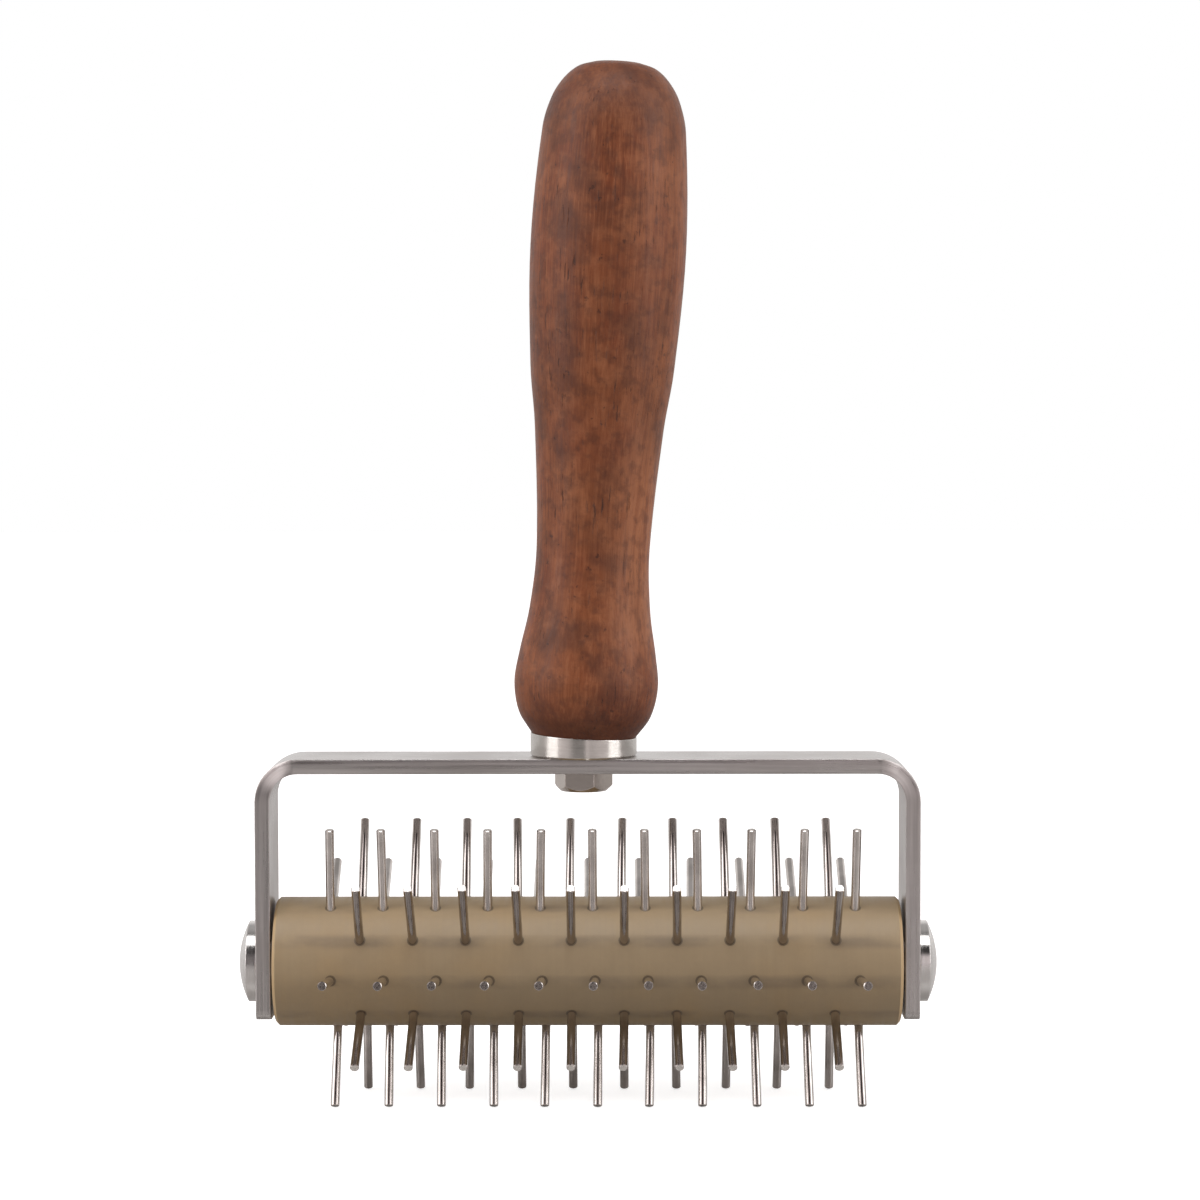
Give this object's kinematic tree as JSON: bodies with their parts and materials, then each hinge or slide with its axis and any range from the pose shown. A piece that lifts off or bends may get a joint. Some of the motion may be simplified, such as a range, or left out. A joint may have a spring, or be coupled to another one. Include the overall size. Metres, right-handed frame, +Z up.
{
  "type": "dough docker",
  "caption": "Hand tool for pricking rolled dough: a turned wooden handle on a bent steel bracket that carries a free-turning roller studded with steel pins.",
  "frame": {"origin": "on the ground under the middle of the roller, where the lowest pins stand", "axes": "+Z up along the tool towards the handle's end, +X along the roller, +Y away from the user"},
  "size_m": [0.138, 0.0574, 0.2044],
  "materials": {
    "handle_wood": "satin varnish on turned hardwood with fine lengthwise grain",
    "ferrule_steel": "satin, turned",
    "brushed_strip": "brushed along the strip",
    "plated_steel": "dull zinc plating",
    "polished_cap": "polished",
    "pin_steel": "bright drawn wire",
    "roller_plastic": "matte, lightly turned"
  },
  "bodies": {
    "frame": {"handle": "handle_wood", "ferrule": "ferrule_steel", "bracket": "brushed_strip", "handle_screw": "plated_steel", "axle_rod": "plated_steel", "axle_cap_left": "polished_cap", "axle_cap_right": "polished_cap", "washer_left": "plated_steel", "washer_right": "plated_steel"},
    "roller": {"roller_body": "roller_plastic", "pin_row_1": "pin_steel", "pin_row_2": "pin_steel", "pin_row_3": "pin_steel", "pin_row_4": "pin_steel", "pin_row_5": "pin_steel", "pin_row_6": "pin_steel", "pin_row_7": "pin_steel", "pin_row_8": "pin_steel", "pin_row_9": "pin_steel", "pin_row_10": "pin_steel"}
  },
  "joints": [
    {"name": "roller_spin", "type": "hinge", "parent": "frame", "child": "roller", "pos_m": [0, 0, 0.02755], "axis": [1, 0, 0], "continuous": true}
  ]
}
